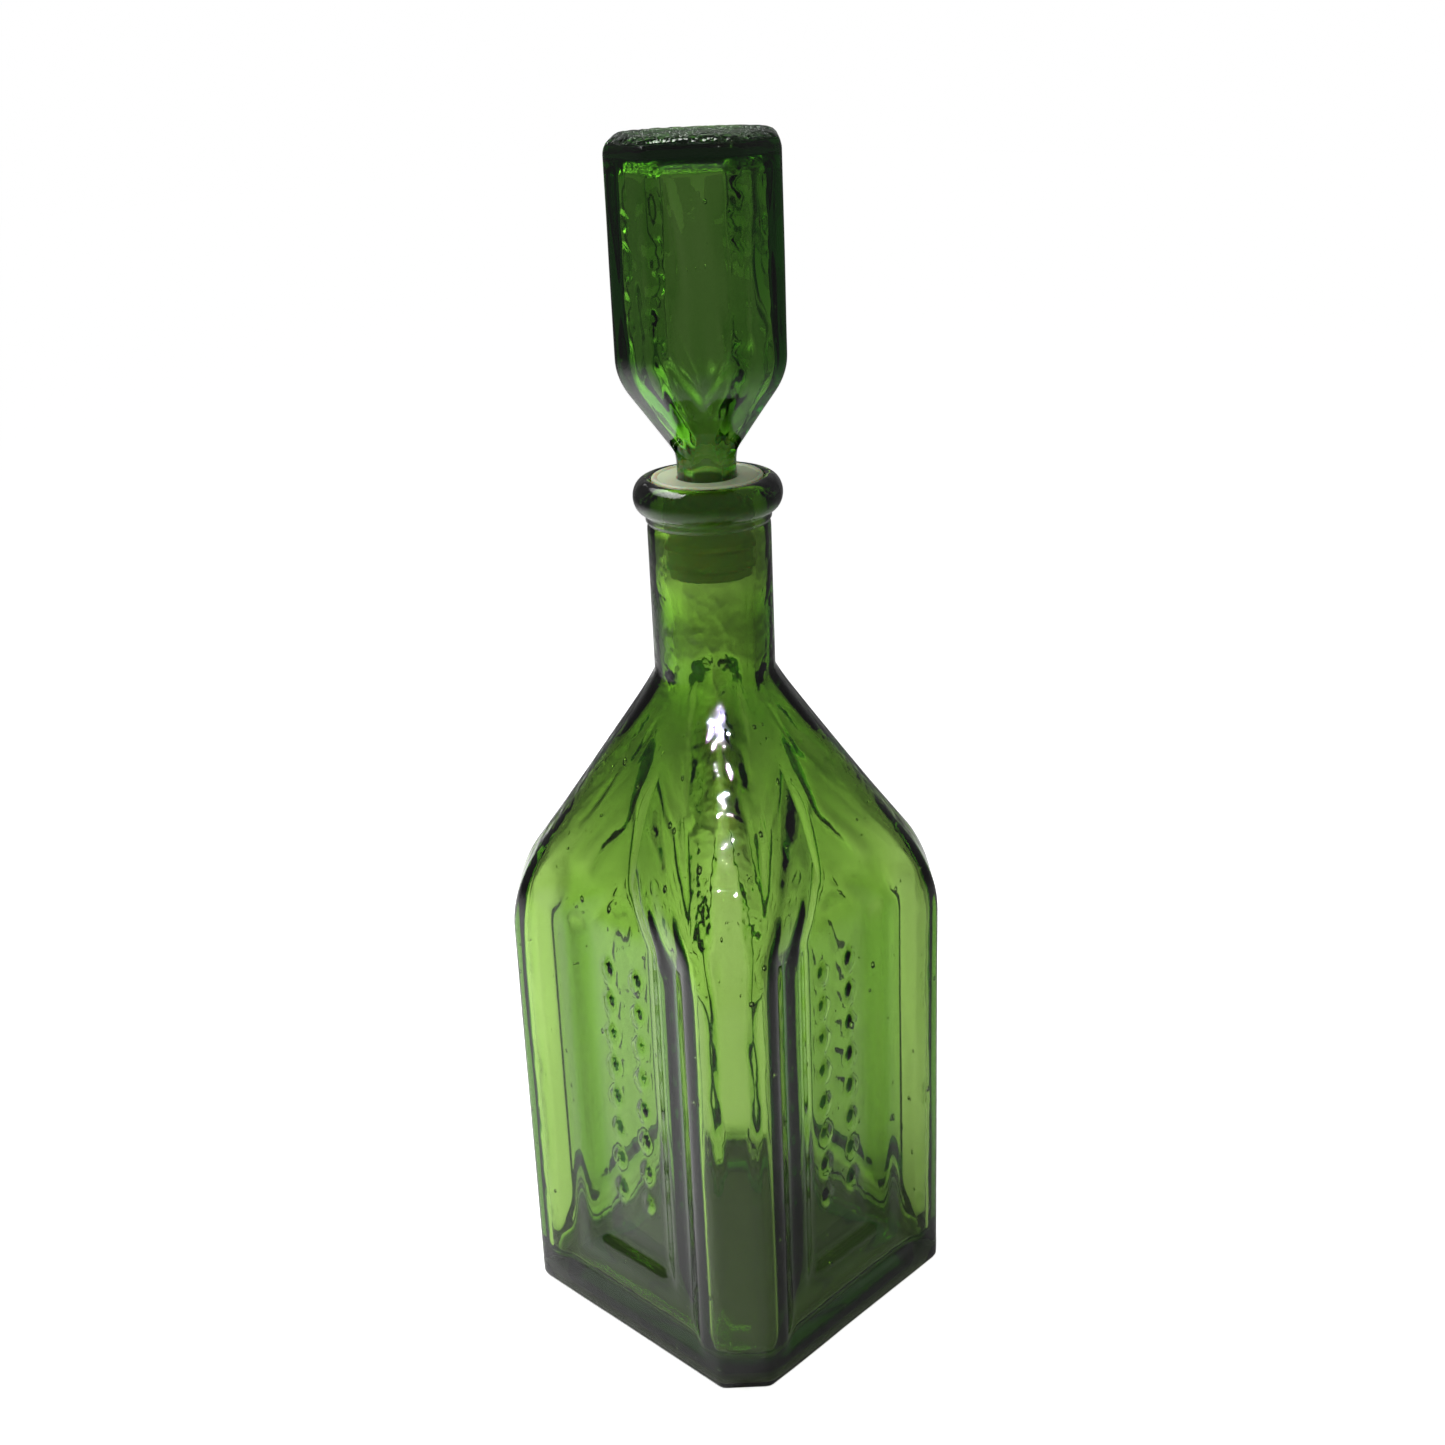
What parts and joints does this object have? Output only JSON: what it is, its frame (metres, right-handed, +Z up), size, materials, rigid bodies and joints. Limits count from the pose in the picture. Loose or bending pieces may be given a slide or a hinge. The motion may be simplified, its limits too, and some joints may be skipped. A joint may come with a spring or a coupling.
{
  "type": "decanter bottle",
  "caption": "Tall square glass bottle with stepped side panels, pyramid shoulder and round neck, closed by a hollow glass stopper in a plastic sleeve.",
  "frame": {"origin": "centre of the foot, on the surface that the bottle stands on", "axes": "+Z up along the neck; +X and +Y square to two of the body's flat faces"},
  "size_m": [0.0762, 0.0762, 0.2673],
  "materials": {
    "bottle_glass": "fire-polished pressed glass, olive green",
    "sleeve_plastic": "translucent moulded polyethylene, satin",
    "stopper_glass": "fire-polished blown glass, olive green"
  },
  "bodies": {
    "bottle": {"bottle": "bottle_glass"},
    "sleeve": {"stopper_sleeve": "sleeve_plastic"},
    "stopper": {"stopper": "stopper_glass"}
  },
  "joints": [
    {"name": "sleeve_lift", "type": "slide", "parent": "bottle", "child": "sleeve", "axis": [0, 0, 1], "range_m": [0, 0.1]},
    {"name": "stopper_turn", "type": "hinge", "parent": "sleeve", "child": "stopper", "pos_m": [0, 0, 0.179], "axis": [0, 0, 1], "continuous": true}
  ]
}
